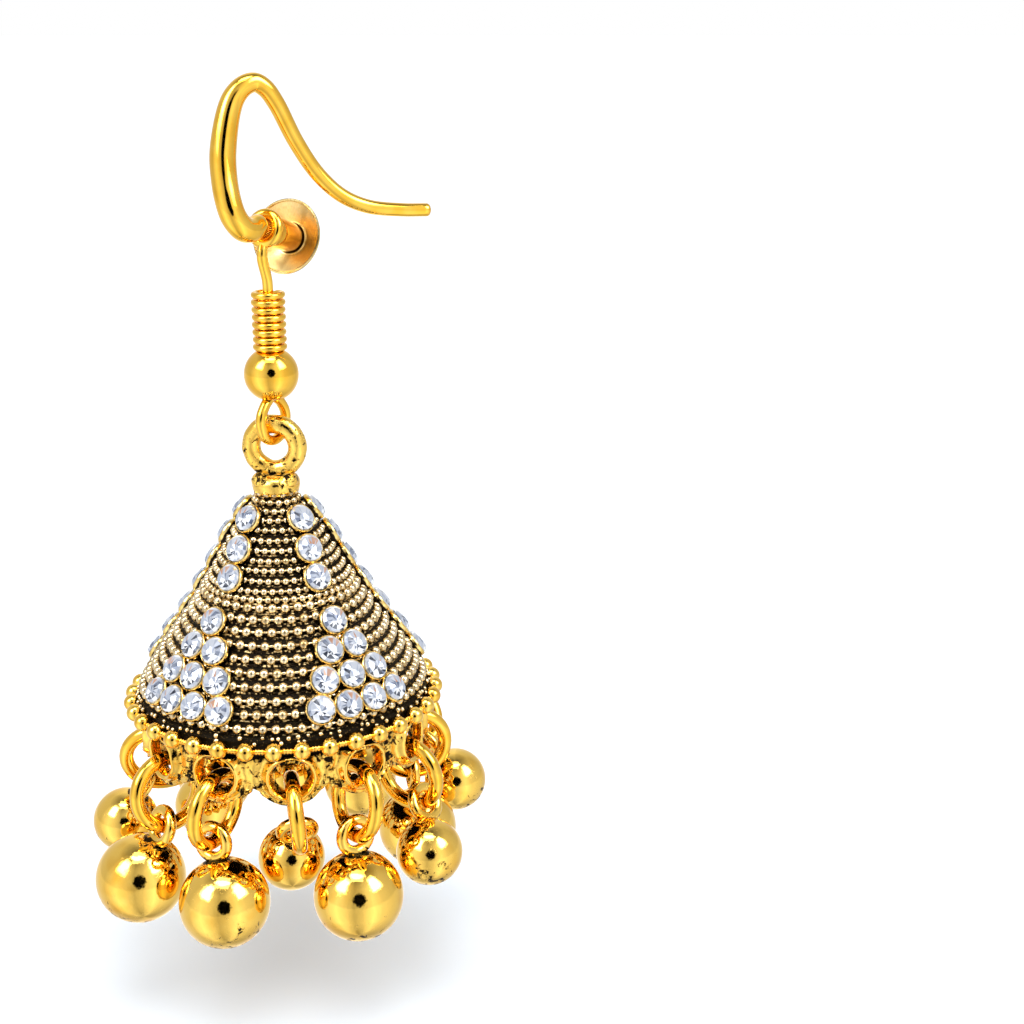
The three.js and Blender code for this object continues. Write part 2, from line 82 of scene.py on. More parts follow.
def aim(axis, spot, level=None):  # +Z along the axis, spot in millimetres
    axis = Vector(axis).normalized()
    if level is None:
        turn = axis.to_track_quat("Z", "Y").to_matrix()
    else:
        side = (Vector(level) - axis * axis.dot(Vector(level))).normalized()
        turn = Matrix((side, axis.cross(side), axis)).transposed()
    return Matrix.Translation(Vector(spot) * mm) @ turn.to_4x4()


def copyTo(piece, matrix, name):
    twin = piece.copy()
    twin.data = piece.data.copy()
    twin.name = name
    bpy.context.collection.objects.link(twin)
    return place(twin, matrix)


def weld(name, pieces):  # several meshes become one piece
    clearAll()
    for piece in pieces:
        piece.select_set(True)
    bpy.context.view_layer.objects.active = pieces[0]
    if len(pieces) > 1:
        bpy.ops.object.join()
    pieces[0].name = name
    return pieces[0]


def dropPiece(piece):
    bpy.data.objects.remove(piece)


def finishPiece(piece, finish, slot, body, *nodes, angle=None):
    pick(piece)
    if angle is None:
        bpy.ops.object.shade_smooth()
    else:
        bpy.ops.object.shade_smooth_by_angle(angle=math.radians(angle))
    if finish is not None:
        piece.data.materials.clear()
        piece.data.materials.append(finish)
    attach(piece, body)
    if nodes:
        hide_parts(*nodes)
    return piece


def smoothLine(points, parts):  # a smooth line through (x, y, z, radius) points
    points = [Vector(point) for point in points]
    points = [points[0] * 2 - points[1]] + points + [points[-1] * 2 - points[-2]]
    line = []
    for before, start, end, after in zip(points, points[1:], points[2:], points[3:]):
        gaps = [max((b.xyz - a.xyz).length ** 0.5, 1e-4)
                for a, b in ((before, start), (start, end), (end, after))]
        leave = (start - before) / gaps[0] - (end - before) / (gaps[0] + gaps[1]) + (end - start) / gaps[1]
        arrive = (end - start) / gaps[1] - (after - start) / (gaps[1] + gaps[2]) + (after - end) / gaps[2]
        for part in range(parts):
            t = part / parts
            line.append(start * (2 * t**3 - 3 * t**2 + 1) + end * (3 * t**2 - 2 * t**3)
                        + leave * gaps[1] * (t**3 - 2 * t**2 + t) + arrive * gaps[1] * (t**3 - t**2))
    return line + [points[-2]]


def roundEnd(line, away, reach):  # closes a wire's end with a round tip
    tip = line[-1]
    return line + [Vector((*(tip.xyz + away * reach * math.sin(angle)), tip.w * math.cos(angle)))
                   for angle in (0.5, 0.9, 1.2, 1.4, 1.52)]


def layWire(name, line, sides=6):  # wire along a line of (x, y, z, radius)
    clearAll()
    bpy.ops.curve.primitive_nurbs_path_add()
    wire = bpy.context.object
    wire.name = name
    wire.data.splines.clear()
    run = wire.data.splines.new("POLY")
    run.points.add(len(line) - 1)
    for spot, (x, y, z, radius) in zip(run.points, line):
        spot.co = (x * mm, y * mm, z * mm, 1)
        spot.radius = radius
    wire.data.bevel_depth = mm
    wire.data.bevel_resolution = sides
    wire.data.use_fill_caps = True
    bpy.ops.object.convert(target="MESH")
    editAll(mergeClose, faceOut)
    return bpy.context.object


def spinProfile(name, profile, steps):  # [radius, height] pairs spun about Z
    mesh = bpy.data.meshes.new(name)
    edges = [(index, index + 1) for index in range(len(profile) - 1)]
    mesh.from_pydata([(radius * mm, 0, height * mm) for radius, height in profile], edges, [])
    piece = bpy.data.objects.new(name, mesh)
    bpy.context.collection.objects.link(piece)
    pick(piece)
    editAll(lambda: bpy.ops.mesh.spin(steps=steps, angle=2 * math.pi, center=(0, 0, 0), axis=(0, 0, 1)),
            lambda: bpy.ops.mesh.select_all(action="SELECT"), mergeClose, faceOut)
    return piece


def addRing(name, across, wire, around=48, section=16):
    clearAll()
    bpy.ops.mesh.primitive_torus_add(major_radius=across / 2 * mm, minor_radius=wire / 2 * mm,
                                     major_segments=around, minor_segments=section)
    bpy.context.object.name = name
    return bpy.context.object


def addBall(name, across, around=32, rings=20):
    clearAll()
    bpy.ops.mesh.primitive_uv_sphere_add(segments=around, ring_count=rings, radius=across / 2 * mm)
    bpy.context.object.name = name
    return bpy.context.object


def mark(piece, name, measure):  # a number on every vertex, for the finishes
    layer = piece.data.attributes.new(name, "FLOAT", "POINT")
    for vertex in piece.data.vertices:
        layer.data[vertex.index].value = measure(vertex.co / mm)


def outward(degrees):
    return Vector((math.sin(math.radians(degrees)), -math.cos(math.radians(degrees)), 0))


def around(degrees):
    return Vector((math.cos(math.radians(degrees)), math.sin(math.radians(degrees)), 0))


# finishes
def feed(tree, socket, value):  # a link, or a plain value
    if isinstance(value, bpy.types.NodeSocket):
        tree.links.new(value, socket)
    else:
        socket.default_value = value


def addNode(tree, kind, parts=()):  # parts are settings, and inputs by name or number
    node = tree.nodes.new(kind)
    for key, value in dict(parts).items():
        if isinstance(key, str) and hasattr(node, key):
            setattr(node, key, value)
        else:
            feed(tree, node.inputs[key], value)
    return node


def addNoise(tree, scale, detail, place=None, **more):  # in the object's own space if no place is given
    if place is None:
        place = addNode(tree, "ShaderNodeTexCoord").outputs["Object"]
    parts = {"Scale": scale, "Detail": detail, "Vector": place, **more}
    return addNode(tree, "ShaderNodeTexNoise", parts).outputs[0]


def mapRange(tree, value, low, high, outLow=0.0, outHigh=1.0):
    parts = {"clamp": True, 0: value, 1: low, 2: high, 3: outLow, 4: outHigh}
    return addNode(tree, "ShaderNodeMapRange", parts).outputs[0]


def blendColor(tree, share, first, second):
    first, second = ((*color, 1) if isinstance(color, tuple) else color for color in (first, second))
    return addNode(tree, "ShaderNodeMix", {"data_type": "RGBA", 0: share, 6: first, 7: second}).outputs[2]


def combine(tree, operation, first, second=0.0):
    return addNode(tree, "ShaderNodeMath", {"operation": operation, 0: first, 1: second}).outputs[0]


def readMark(tree, name, output="Fac"):  # what mark() wrote on the mesh
    return addNode(tree, "ShaderNodeAttribute", {"attribute_name": name}).outputs[output]


def newGroup(name, **inputs):  # all sockets of the groups are numbers
    group = bpy.data.node_groups.new(name, "ShaderNodeTree")
    for label, value in inputs.items():
        socket = group.interface.new_socket(name=label, in_out="INPUT", socket_type="NodeSocketFloat")
        socket.default_value = value
    return group, group.nodes.new("NodeGroupInput").outputs


def closeGroup(group, **outputs):
    for label in outputs:
        group.interface.new_socket(name=label, in_out="OUTPUT", socket_type="NodeSocketFloat")
    made = group.nodes.new("NodeGroupOutput")
    for label, socket in outputs.items():
        group.links.new(socket, made.inputs[label])
    return group


def makePolish():  # faint waviness and handling marks of plated wire
    group, _ = newGroup("wirePolish")
    marks = mapRange(group, addNoise(group, 6000.0, 2.0), 0.35, 0.75, 0.04, 0.1)
    return closeGroup(group, Wave=addNoise(group, 900.0, 3.0), Roughness=marks)


def makeCastWear():  # pits, dark stains and lumps of antiqued castings; Worn is where they gather
    group, given = newGroup("castWear", Worn=0.3)
    patch = addNoise(group, 1500.0, 6.0, Roughness=0.68, Distortion=0.5)
    pits = combine(group, "ADD", patch, combine(group, "MULTIPLY", given["Worn"], 0.34))
    dark = mapRange(group, pits, 0.74, 0.79)
    amber = mapRange(group, addNoise(group, 420.0, 2.0), 0.5, 0.75)
    height = combine(group, "ADD", addNoise(group, 1300.0, 3.0), combine(group, "MULTIPLY", dark, -0.6))
    return closeGroup(group, Dark=dark, Amber=amber, Height=height,
                      Roughness=mapRange(group, pits, 0.6, 0.78, 0.06, 0.4))


polish = makePolish()
castWear = makeCastWear()
goldTones = {
    "bright": (0.97, 0.59, 0.085), "deep": (0.92, 0.51, 0.05),
    # the amber tones are the barrel's painted shade
    "amber": (0.82, 0.44, 0.05), "amberDeep": (0.68, 0.33, 0.03),
    "cast": (0.96, 0.62, 0.125), "castAmber": (0.86, 0.46, 0.05), "pit": (0.012, 0.008, 0.005),
    "pale": (0.85, 0.71, 0.46), "paleDark": (0.38, 0.25, 0.1),
    "cup": (0.92, 0.68, 0.26), "cupDark": (0.62, 0.4, 0.1), "ridge": (0.75, 0.55, 0.26),
    "black": (0.009, 0.006, 0.003), "rubbed": (0.3, 0.18, 0.05),
    # the disc's fan tone is a painted dark reflection, and its groove tone is painted shade in the crease
    "disc": (0.98, 0.79, 0.39), "discBrushed": (0.82, 0.61, 0.25), "discReflectionFan": (0.42, 0.27, 0.07),
    "discCreaseShade": (0.03, 0.015, 0.0),
}


def newFinish(name):
    finish = bpy.data.materials.new(name)
    finish.use_nodes = True
    return finish, finish.node_tree


def dress(finish, inputs, relief=None):  # relief is the bump's height, distance in metres and strength
    tree = finish.node_tree
    shader = tree.nodes["Principled BSDF"]
    for label, value in {"Metallic": 1.0, **inputs}.items():
        feed(tree, shader.inputs[label], value)
    if relief:
        height, distance, strength = relief
        bump = addNode(tree, "ShaderNodeBump", {"Strength": strength, "Distance": distance, "Height": height})
        tree.links.new(bump.outputs[0], shader.inputs["Normal"])
    return finish


def blendGold(tree, share, first, second):
    return blendColor(tree, share, goldTones[first], goldTones[second])


def makeWireGold(name, bright, deep):
    finish, tree = newFinish(name)
    made = addNode(tree, "ShaderNodeGroup", {"node_tree": polish}).outputs
    gold = blendGold(tree, mapRange(tree, made["Wave"], 0.35, 0.65), bright, deep)
    return dress(finish, {"Base Color": gold, "Roughness": made["Roughness"]}, (made["Wave"], 0.00001, 0.25))


def makeDiscGold():  # radial brushing with painted dark reflection fans, by the disc's own polar map
    finish, tree = newFinish("discGold")
    polar = addNode(tree, "ShaderNodeUVMap", {"uv_map": "polar"}).outputs[0]
    narrow, wide = (addNode(tree, "ShaderNodeMapping", {"Scale": scale, "Vector": polar}).outputs[0]
                    for scale in ((70.0, 3.0, 1.0), (5.0, 0.3, 1.0)))
    brush, paintedFans = addNoise(tree, 4.0, 4.0, narrow), addNoise(tree, 2.0, 1.0, wide)
    gold = blendGold(tree, mapRange(tree, brush, 0.3, 0.7), "disc", "discBrushed")
    # painted dark reflection fans across the disc
    gold = blendColor(tree, mapRange(tree, paintedFans, 0.5, 0.66, 0.0, 0.6), gold, goldTones["discReflectionFan"])
    reach = addNode(tree, "ShaderNodeSeparateXYZ", {0: polar}).outputs["Y"]
    groove = mapRange(tree, reach, 0.41, 0.425, 1.0, 0.0)  # painted shade in the crease where barrel and disc meet
    gold = blendColor(tree, groove, gold, goldTones["discCreaseShade"])
    smoothRim = mapRange(tree, reach, 0.92, 0.94, 1.0, 0.3)
    satin = combine(tree, "MULTIPLY", mapRange(tree, brush, 0.3, 0.7, 0.26, 0.42), smoothRim)
    return dress(finish, {"Base Color": gold, "Roughness": satin}, (brush, 0.00003, 0.5))


def makeCastGold(name, mostWorn, depth):
    finish, tree = newFinish(name)
    worn = mapRange(tree, readMark(tree, "worn"), 0, 1, 0.1, mostWorn)
    made = addNode(tree, "ShaderNodeGroup", {"node_tree": castWear, "Worn": worn}).outputs
    gold = blendGold(tree, made["Amber"], "cast", "castAmber")
    gold = blendColor(tree, made["Dark"], gold, goldTones["pit"])
    return dress(finish, {"Base Color": gold, "Roughness": made["Roughness"]}, (made["Height"], depth, 0.6))


def makeRowGold():  # champagne beads with darker antique in the low spots
    finish, tree = newFinish("rowGold")
    rub = addNoise(tree, 1500.0, 4.0)
    gold = blendGold(tree, mapRange(tree, rub, 0.4, 0.7), "pale", "paleDark")
    rough = mapRange(tree, rub, 0.3, 0.7, 0.12, 0.3)
    return dress(finish, {"Base Color": gold, "Roughness": rough}, (rub, 0.00004, 0.4))


def makeLineGold():  # the rough ridges between the rows: gold grains on black
    finish, tree = newFinish("lineGold")
    grain = addNoise(tree, 3400.0, 2.0)
    gold = blendGold(tree, mapRange(tree, grain, 0.52, 0.62), "pit", "ridge")
    return dress(finish, {"Base Color": gold, "Roughness": 0.3}, (grain, 0.00015, 0.9))


def makeOxide():  # blackened recess with specks of gold rubbed through
    finish, tree = newFinish("blackRecess")
    grain = addNoise(tree, 5200.0, 5.0, Roughness=0.7)
    tone = blendGold(tree, mapRange(tree, grain, 0.6, 0.68), "black", "rubbed")
    rough = mapRange(tree, grain, 0.3, 0.7, 0.3, 0.65)
    inputs = {"Base Color": tone, "Roughness": rough, "Metallic": 0.0, "Specular IOR Level": 0.05}
    return dress(finish, inputs, (grain, 0.00012, 0.8))


def makeCupGold():
    finish, tree = newFinish("cupGold")
    rub = addNoise(tree, 2200.0, 3.0)
    gold = blendGold(tree, mapRange(tree, rub, 0.42, 0.7), "cup", "cupDark")
    low = mapRange(tree, combine(tree, "ADD", readMark(tree, "worn"), rub), 0.85, 1.1)
    gold = blendColor(tree, low, gold, goldTones["pit"])
    return dress(finish, {"Base Color": gold, "Roughness": 0.16}, (rub, 0.00004, 0.4))


def makeStoneFinish():  # each facet has a painted tone of light, shade and reflection, as cut glass over foil shows it
    finish, tree = newFinish("cutStone")
    cloud = mapRange(tree, addNoise(tree, 1600.0, 2.0), 0.35, 0.7, 0.0, 0.2)
    paintedFacetColor = blendColor(tree, cloud, readMark(tree, "paintedFacetLight", "Color"), (0.9, 0.93, 1.0))
    return dress(finish, {"Base Color": paintedFacetColor, "Roughness": 0.06, "Metallic": 0.3,
                          "Coat Weight": 0.35, "Coat Roughness": 0.02})


wireGold = makeWireGold("wireGold", "bright", "deep")
# the barrel gets a darker amber copy of the wire gold, as painted shade
barrelShadedGold = makeWireGold("barrelShadedGold", "amber", "amberDeep")
discGold = makeDiscGold()
bellGold = makeCastGold("bellGold", 0.95, 0.00003)
castGold = makeCastGold("castGold", 1.35, 0.0001)
rowGold = makeRowGold()
lineGold = makeLineGold()
blackRecess = makeOxide()
cupGold = makeCupGold()
cutStone = makeStoneFinish()
print("finishes made")


# ear hook and stop
hook = {
    # the wire from its tail to its nose: x, y, z, radius
    "line": [(11.33, 3.56, -8.41, 0.484), (9.49, 3.02, -8.35, 0.493), (7.12, 2.31, -8.03, 0.512),
             (5.34, 1.76, -7.20, 0.53), (3.73, 1.28, -5.64, 0.558), (2.33, 0.86, -3.40, 0.586),
             (1.08, 0.45, -0.71, 0.623), (0.40, 0.21, 0.30, 0.651), (-0.25, 0.0, 0.68, 0.679),
             (-0.98, -0.40, 0.45, 0.725), (-1.76, -0.80, -0.53, 0.809), (-2.41, -1.60, -3.77, 0.93),
             (-2.35, -2.10, -5.63, 0.93), (-2.08, -2.50, -7.16, 0.93), (-1.71, -2.60, -8.30, 0.93),
             (-1.18, -2.25, -9.10, 0.911), (-0.75, -1.70, -9.27, 0.874)],
    "noseEnd": -0.98, "noseRadius": 0.84, "noseRound": 0.48, "tailRound": 0.3,
    "pegHeight": -9.35, "pegAxis": (0.367, 0.885, -0.286), "pegAcross": 1.1, "pegLength": 5.05,
    "pegMiddle": 1.755, "eyeAcross": 2.1, "eyeWire": 0.78,
    "stopBore": 0.66, "barrelAcross": 2.2, "barrelLength": 3.1, "barrelStart": 0.5,
    "discAcross": 5.5, "discStart": 3.71,
}
pegAxis = Vector(hook["pegAxis"]).normalized()
pegCentre = Vector((0, 0, hook["pegHeight"]))


def alongPeg(distance):
    return pegCentre + pegAxis * distance


def buildHook():
    line = smoothLine(hook["line"] + [(*alongPeg(hook["noseEnd"]), hook["noseRadius"])], 8)
    tail = (line[0].xyz - line[1].xyz).normalized()
    line = roundEnd(line, pegAxis, hook["noseRound"])
    line = roundEnd(line[::-1], tail, hook["tailRound"])
    limb = layWire("earHook", line, 10)
    clearAll()
    bpy.ops.mesh.primitive_cylinder_add(vertices=24, radius=hook["pegAcross"] / 2 * mm,
                                        depth=hook["pegLength"] * mm)
    peg = bpy.context.object
    editAll(lambda: bpy.ops.mesh.bevel(offset=0.1 * mm, segments=2))
    place(peg, aim(pegAxis, alongPeg(hook["pegMiddle"])))
    finishPiece(weld("earHook", [limb, peg]), wireGold, "polished_gold", "hook", "ear_hook")


def buildStop():
    bore, outer, length = hook["stopBore"], hook["barrelAcross"] / 2, hook["barrelLength"]
    profile = [(bore, 0), (outer - 0.12, 0), (outer - 0.03, 0.03), (outer, 0.12), (outer, length - 0.2),
               (outer - 0.05, length - 0.06), (outer - 0.16, length), (bore, length), (bore, 0)]
    barrel = spinProfile("stopBarrel", profile, 48)
    place(barrel, aim(pegAxis, alongPeg(hook["barrelStart"])))
    finishPiece(barrel, barrelShadedGold, "polished_gold", "hook", "stop_barrel", angle=40)
    rim = hook["discAcross"] / 2
    profile = [(bore, -0.02), (outer + 0.06, -0.02), (outer + 0.12, 0.05), (outer + 0.2, 0.04),
               (rim * 0.72, -0.36), (rim - 0.2, -0.64), (rim - 0.17, -0.73), (rim - 0.09, -0.78),
               (rim, -0.74), (rim + 0.03, -0.65), (rim - 0.03, -0.55), (rim * 0.72, -0.13),
               (outer + 0.1, 0.3), (bore, 0.3), (bore, -0.02)]
    disc = spinProfile("stopDisc", profile, 72)
    sheet = disc.data.uv_layers.new(name="polar")  # turn across, distance from the middle up
    for face in disc.data.polygons:
        spots = [disc.data.vertices[index].co for index in face.vertices]
        turns = [math.atan2(spot.y, spot.x) / math.tau for spot in spots]
        if max(turns) - min(turns) > 0.5:
            turns = [turn + 1 if turn < 0 else turn for turn in turns]
        for corner, turn, spot in zip(face.loop_indices, turns, spots):
            sheet.data[corner].uv = (turn, spot.xy.length / mm / rim)
    place(disc, aim(pegAxis, alongPeg(hook["discStart"])))
    finishPiece(disc, discGold, "polished_gold", "hook", "stop_disc", angle=40)


buildHook()
buildStop()
print("hook and stop made")


# wire drop, coil and ball bead
drop = {
    "coilTop": -14.05, "coilTurns": 7, "coilPitch": 0.54, "coilRadius": 1.0, "coilWire": 0.5,
    "coilStep": 0.3, "coilWobble": 0.012, "coilTip": 0.12,
    "beadHeight": -19.872, "beadAcross": 4.0, "beadBore": 1.9,
    "eyeBottom": -24.822, "eyeWidth": 2.9, "eyeTurn": 30, "strandGap": 0.84,
}


def buildDropWire():
    wire = hook["eyeWire"] / 2
    down = Vector((0, 0, -1))
    hang = (down - pegAxis * down.dot(pegAxis)).normalized()
    eye = addRing("dropEye", hook["eyeAcross"], hook["eyeWire"], 48, 20)
    place(eye, aim(pegAxis, pegCentre))
    bottom = pegCentre + hang * hook["eyeAcross"] / 2
    top = drop["coilTop"]
    shank = smoothLine([(*bottom, wire * 0.9), (*(bottom + hang * 0.94), wire), (0, 0, top + 0.94, wire),
                        (0, 0, top - 0.5, wire), (0, 0, drop["beadHeight"] - 1.2, wire)], 10)
    side = Vector((math.sin(math.radians(drop["eyeTurn"])), math.cos(math.radians(drop["eyeTurn"])), 0))
    half, gap, low = drop["eyeWidth"] / 2, drop["strandGap"], drop["eyeBottom"]
    middle, bead = low + half, drop["beadHeight"]
    spots = [(gap / 4, bead), (gap / 3, bead - 1.6), (half * 0.62, bead - 2.22), (half * 0.93, middle + 0.62),
             (half, middle), (half * 0.7, middle - half * 0.72)]
    spots = [(-across, height) for across, height in spots] + [(0, low)] + spots[::-1]
    loop = smoothLine([(*(side * across + Vector((0, 0, height))), wire) for across, height in spots], 8)
    pieces = [layWire("dropWire", shank, 7), eye, layWire("dropLoop", loop, 7)]
    finishPiece(weld("dropWire", pieces), wireGold, "polished_gold", "drop", "drop_wire")


def buildCoil():
    passes, steps = drop["coilTurns"] + 1, 40
    line = []
    for step in range(passes * steps + 1):  # each turn lies level and steps down behind
        angle = math.tau * step / steps - math.pi
        level = (step + steps // 2) // steps
        part = min(1, max(0, (step / steps - level) / drop["coilStep"] + 0.5))
        level = min(max(level - 1 + part * part * (3 - 2 * part), 0), passes - 1)
        across = drop["coilRadius"] * (1 + drop["coilWobble"] * math.sin(angle / 3.1))
        line.append(Vector((math.sin(angle) * across, -math.cos(angle) * across,
                            drop["coilTop"] - drop["coilPitch"] * level, drop["coilWire"] / 2)))
    line = roundEnd(line, (line[-1].xyz - line[-2].xyz).normalized(), drop["coilTip"])
    line = roundEnd(line[::-1], (line[0].xyz - line[1].xyz).normalized(), drop["coilTip"])
    finishPiece(layWire("coilWrap", line, 4), wireGold, "polished_gold", "drop", "coil_wrap")


def buildBead():
    radius, bore = drop["beadAcross"] / 2, drop["beadBore"] / 2
    limit = math.acos((bore + 0.08) / radius)
    angles = [-limit + 2 * limit * part / 28 for part in range(29)]
    arc = [(radius * math.cos(angle), radius * math.sin(angle)) for angle in angles]
    lip = radius * math.sin(limit)
    profile = [(bore, -lip + 0.1), (bore + 0.02, -lip - 0.02)] + arc
    profile += [(bore + 0.02, lip + 0.02), (bore, lip - 0.1)]
    ball = spinProfile("ballBead", profile + [profile[0]], 56)
    lift(ball, drop["beadHeight"])
    finishPiece(ball, wireGold, "polished_gold", "drop", "ball_bead", angle=50)


buildDropWire()
buildCoil()
buildBead()
print("drop made")


# dome
dome = {
    "rim": -44.63, "height": 16.15, "topAcross": 3.2, "rimAcross": 22.3,
    # the wall's flare: share of the way down, share of the widening
    "line": [(0, 0), (0.05, 0.02), (0.2, 0.2), (0.385, 0.376), (0.57, 0.568), (0.755, 0.795),
             (0.907, 0.962), (0.965, 1)],
    # heights are above the rim; sink is how deep beads sit, ridges where thin lines run between rows
    "rows": {
        "fineRows": {
            "heights": [16.0, 15.4, 14.84, 14.26, 13.64, 12.99, 12.34, 11.67, 11.05, 10.37, 9.72, 9.2],
            "bead": 0.56, "pitch": 0.62, "sink": 0.2, "ridges": (-0.56,), "groove": 0.5, "seat": 0.2},
        "coarseRows": {
            "heights": [8.66, 7.92, 7.13, 6.3, 5.49, 4.67, 3.85, 3.0, 2.2, 1.32],
            "bead": 0.78, "pitch": 0.92, "sink": 0.28, "ridges": (-0.5, 0.5), "groove": 0.62, "seat": 0.26},
    },
    "stoneClear": 0.9, "wireShare": 0.3, "ridgeWire": 0.17, "ridgeStep": 1.12,
    "grainRings": [(0.86, 11.02, 0.6), (0.5, 11.12, 0.3)], "grainSpots": 116,  # height, radius, share filled
    "rimBeads": 36, "rimBead": 1.34, "rimCircle": 23.0, "rimTurn": 3.6,
    "ringAcross": 3.46, "ringWire": 1.4, "ringTurn": 6, "ringHeight": -25.312, "knobHeight": -28.062,
}


def onDome(degrees, radius, height):  # a spot round the dome, height above its rim
    return outward(degrees) * radius + Vector((0, 0, dome["rim"] + height))


def wallRadius(height):
    sink = min(max(1 - height / dome["height"], 0), dome["line"][-1][0])
    for (drop0, flare0), (drop1, flare1) in zip(dome["line"], dome["line"][1:]):
        if sink <= drop1 + 1e-9:
            flare = flare0 + (flare1 - flare0) * (sink - drop0) / (drop1 - drop0)
            return (dome["topAcross"] + (dome["rimAcross"] - dome["topAcross"]) * flare) / 2
    return dome["rimAcross"] / 2


def wallNormal(height, degrees):
    rise = wallRadius(height - 0.6) - wallRadius(height + 0.6)
    return (outward(degrees) * 1.2 + Vector((0, 0, rise))).normalized()


stones = {
    "cupRadius": 1.12, "glassRadius": 0.985, "panelTurn": 2, "sideTurn": 106, "seat": 0.12,
    "pitch": 2.1, "lowerRowPitch": 1.99, "upperRowPitch": 2.24, "sideRowPitch": 2.31,
    "lowerRowHeight": 2.33, "upperRowHeight": 0.641 * 16.15, "sideRowHeight": 2.39, "sideRows": 7,
    # rows up the wall: stones in the row, and how far the nearest is from the panel's middle, in pitches
    "upper": [(1, 1.553), (1, 1.244), (1, 0.944)], "lower": [(4, 1.72), (3, 1.848), (2, 2.005), (1, 2.168)],
    "backUpper": [(1, 1.035), (1, 0.797)],
    # rings of corners on a cut stone: share of its radius, height, share of the heart's shift
    "rings": [(0.4, 0.72, 0.65), (0.83, 0.6, 0.1), (1.0, 0.4, 0), (1.0, 0.12, 0)],
    "facets": 16, "heart": (-0.14, -0.24, 0.66), "cuts": 6,
}
wallRise = dome["height"] / math.hypot(dome["height"], (dome["rimAcross"] - dome["topAcross"]) / 2)


def besidePanel(panel, hand, lowest, rowPitch, rows):
    spots = []
    for row, (count, across) in enumerate(rows):
        height = lowest + row * rowPitch * wallRise
        for index in range(count):
            away = (across + index) * stones["pitch"] / wallRadius(height)
            spots.append((height, panel + hand * math.degrees(away)))
    return spots


def stoneFields():  # node name to (height, degrees) of its stones
    fields = {}
    upper, lower = ((stones[row + "Height"], stones[row + "Pitch"]) for row in ("upperRow", "lowerRow"))
    panel, back = stones["panelTurn"], stones["panelTurn"] + 180
    for side, hand in (("left", -1), ("right", 1)):
        fields["stones_front_upper_" + side] = besidePanel(panel, hand, *upper, stones["upper"])
        fields["stones_front_lower_" + side] = besidePanel(panel, hand, *lower, stones["lower"])
        fields["stones_side_" + side] = [
            (stones["sideRowHeight"] + row * stones["sideRowPitch"] * wallRise,
             panel + hand * stones["sideTurn"]) for row in range(stones["sideRows"])]
        fields["stones_back_upper_" + side] = besidePanel(back, -hand, *upper, stones["backUpper"])
        fields["stones_back_lower_" + side] = besidePanel(back, -hand, *lower, stones["lower"])
    return fields


def stoneFoot(height, degrees):
    normal = wallNormal(height, degrees)
    return onDome(degrees, wallRadius(height), height) + normal * stones["seat"], normal


def buildDomeShell():
    top, rim = dome["height"], dome["rimAcross"] / 2
    profile = [(0, top - 0.1), (wallRadius(top) - 0.5, top - 0.1)]
    rows = [(height, kind["groove"], kind["seat"])
            for kind in dome["rows"].values() for height in kind["heights"]]
    for index, (height, deep, shallow) in enumerate(rows):  # a seat for the beads, a groove, a low ridge
        below = rows[index + 1][0] if index + 1 < len(rows) else height - 0.8
        gap = height - below
        radius = wallRadius(height)
        seat = radius - shallow - 0.12
        profile += [(radius - deep * 0.85, height + gap * 0.22), (seat, height + gap * 0.1),
                    (seat, height - gap * 0.12), (radius - deep * 0.9, height - gap * 0.24),
                    (wallRadius(height - gap / 2) - deep, height - gap * 0.5),
                    (wallRadius(height - gap * 0.66) - deep * 0.62, height - gap * 0.66)]
    profile += [(rim - 0.3, 0.75), (rim - 0.18, 0.5), (rim - 0.3, 0.3), (rim - 0.25, -0.35),
                (rim - 0.4, -0.62), (9.75, -0.62), (9.6, 0.9)]
    hollow = top - 2.3
    for level in range(1, 7):
        height = 0.9 + (hollow - 0.9) * level / 6
        profile.append((min(wallRadius(height) - 0.95, 9.6), height))
    profile.append((0, hollow))
    shell = lift(spinProfile("domeShell", profile, 128), dome["rim"])
    finishPiece(shell, blackRecess, "antique_gold", "dome", "dome", angle=50)


def buildRows():
    taken = [stoneFoot(*spot)[0] for spots in stoneFields().values() for spot in spots]
    clearAll()
    bpy.ops.mesh.primitive_ico_sphere_add(subdivisions=2, radius=0.5 * mm)
    grain = bpy.context.object

    def addBead(way, spot, size):
        return copyTo(grain, aim(way, spot) @ Matrix.Diagonal((size, size, size, 1)), "grain")

    for name, kind in dome["rows"].items():
        pieces, lines = [], []
        for index, height in enumerate(kind["heights"]):
            radius = wallRadius(height) - kind["sink"]
            count = round(math.tau * radius / kind["pitch"])
            for step in range(count):
                turn = stones["panelTurn"] + 360 * (step + 0.5 * (index % 2)) / count
                spot = onDome(turn, radius, height)
                if min((spot - foot).length for foot in taken) > dome["stoneClear"]:
                    size = kind["bead"] * (1 + 0.05 * noise.noise(spot * 3))
                    pieces.append(addBead(wallNormal(height, turn), spot, size))
            wire = addRing("rowWire", 2 * (radius - 0.05), kind["bead"] * dome["wireShare"], 144, 8)
            pieces.append(lift(wire, dome["rim"] + height))
            for step in kind["ridges"]:
                ridge = height + step * kind["bead"] * dome["ridgeStep"]
                across = 2 * (wallRadius(ridge) - kind["sink"] - 0.2)
                thin = addRing("rowLine", across, dome["ridgeWire"], 144, 5)
                lines.append(lift(thin, dome["rim"] + ridge))
        finishPiece(weld(name, pieces), rowGold, "antique_gold", "dome")
        finishPiece(weld(name + "Ridges", lines), lineGold, "antique_gold", "dome")
    pieces, dice = [], random.Random(7)
    for height, radius, share in dome["grainRings"]:  # loose grains above the rim beads
        for step in range(dome["grainSpots"]):
            turn = 360 * (step + dice.uniform(-0.3, 0.3)) / dome["grainSpots"]
            size = dice.uniform(0.26, 0.42)
            spot = onDome(turn, radius, height + dice.uniform(-0.08, 0.08))
            if dice.random() < share:
                pieces.append(addBead(outward(turn), spot, size))
    finishPiece(weld("rimGrains", pieces), rowGold, "antique_gold", "dome")
    dropPiece(grain)


